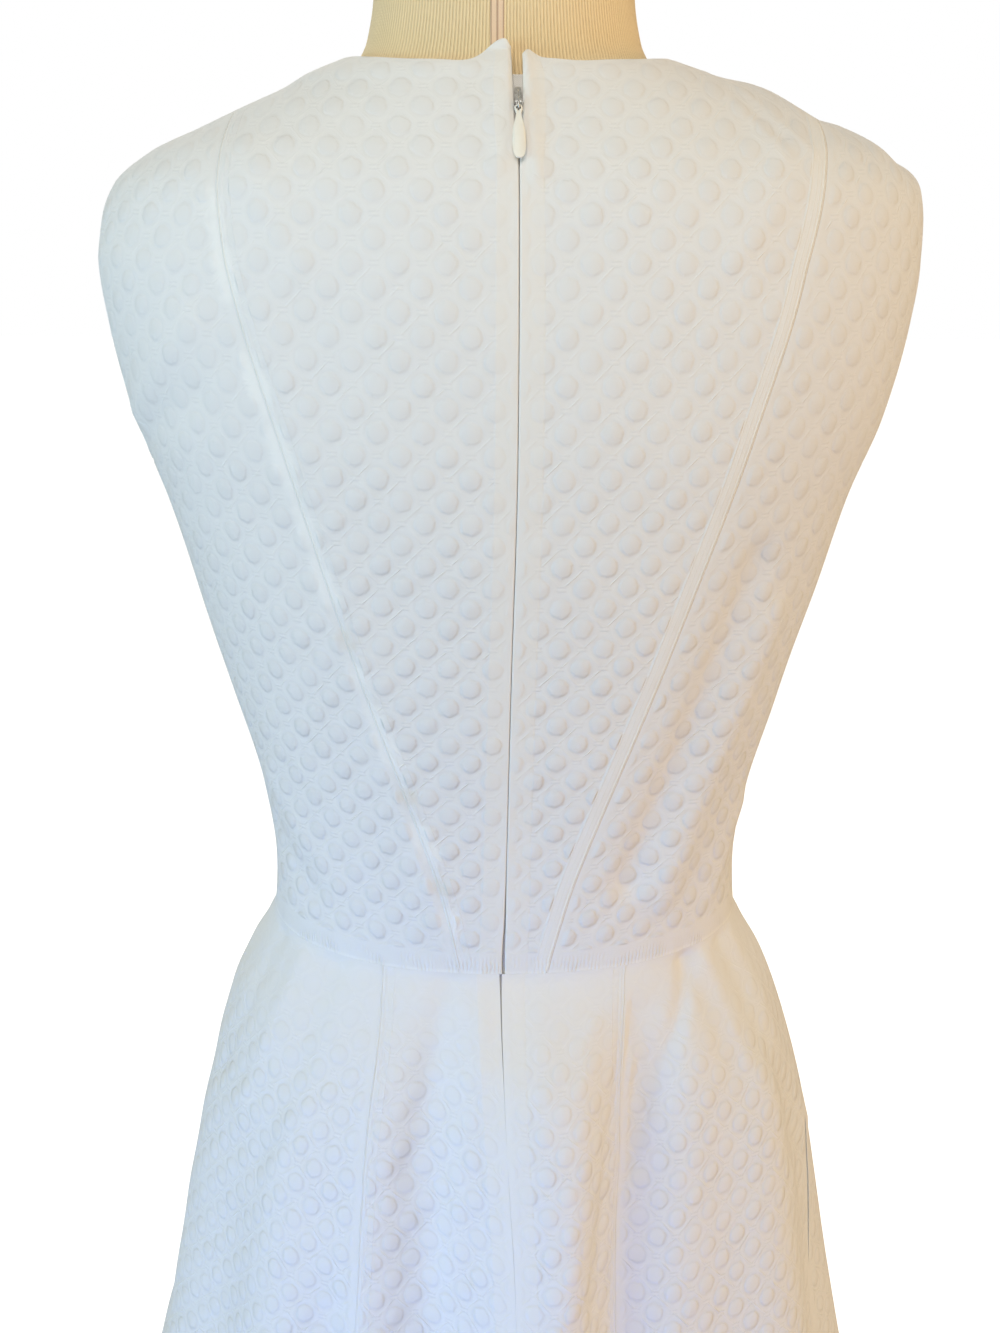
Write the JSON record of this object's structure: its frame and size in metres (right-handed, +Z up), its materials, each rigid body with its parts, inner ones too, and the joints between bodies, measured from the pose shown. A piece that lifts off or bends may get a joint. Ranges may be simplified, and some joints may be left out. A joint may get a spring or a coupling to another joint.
{
  "type": "fit and flare dress on a dress form",
  "caption": "Sleeveless fit and flare dress of white jacquard with princess seams, gored skirt and back zip, worn by a limbless dress form on a round stand.",
  "frame": {"origin": "middle of the stand's flat underside, on the floor", "axes": "+Z up the pole and the form; +Y out of the dress's back, where the zip is; +X towards the wearer's left"},
  "size_m": [0.5339, 0.5508, 1.5658],
  "materials": {
    "white_jacquard": "matt white cotton jacquard with a raised disc and trellis repeat",
    "zip_tape": "white woven zip tape with a nylon coil",
    "beige_jersey": "beige ribbed jersey",
    "neck_cap_wood": "satin turned wood",
    "black_iron": "black painted iron",
    "pole_steel": "brushed steel tube",
    "zip_silver": "plated zinc",
    "pull_enamel": "cream enamel"
  },
  "bodies": {
    "dress_and_form": {"bodice_back_left": "white_jacquard", "bodice_back_right": "white_jacquard", "bodice_side_back_left": "white_jacquard", "bodice_side_back_right": "white_jacquard", "bodice_side_front_left": "white_jacquard", "bodice_side_front_right": "white_jacquard", "bodice_front": "white_jacquard", "skirt_back_right": "white_jacquard", "skirt_side_back_right": "white_jacquard", "skirt_side_front_right": "white_jacquard", "skirt_front": "white_jacquard", "skirt_side_front_left": "white_jacquard", "skirt_side_back_left": "white_jacquard", "skirt_back_left": "white_jacquard", "zip_tape": "zip_tape", "zip_slider": "zip_silver", "form_torso": "beige_jersey", "form_neck_cap": "neck_cap_wood", "stand_base": "black_iron", "stand_pole": "pole_steel", "stand_flange": "black_iron"},
    "zip_tab": {"zip_link": "zip_silver", "zip_pull": "pull_enamel"}
  },
  "joints": [
    {"name": "zip_tab_swing", "type": "hinge", "parent": "dress_and_form", "child": "zip_tab", "pos_m": [0, 0.08534, 1.44276], "axis": [1, 0, 0], "range_deg": [0, 150]}
  ]
}
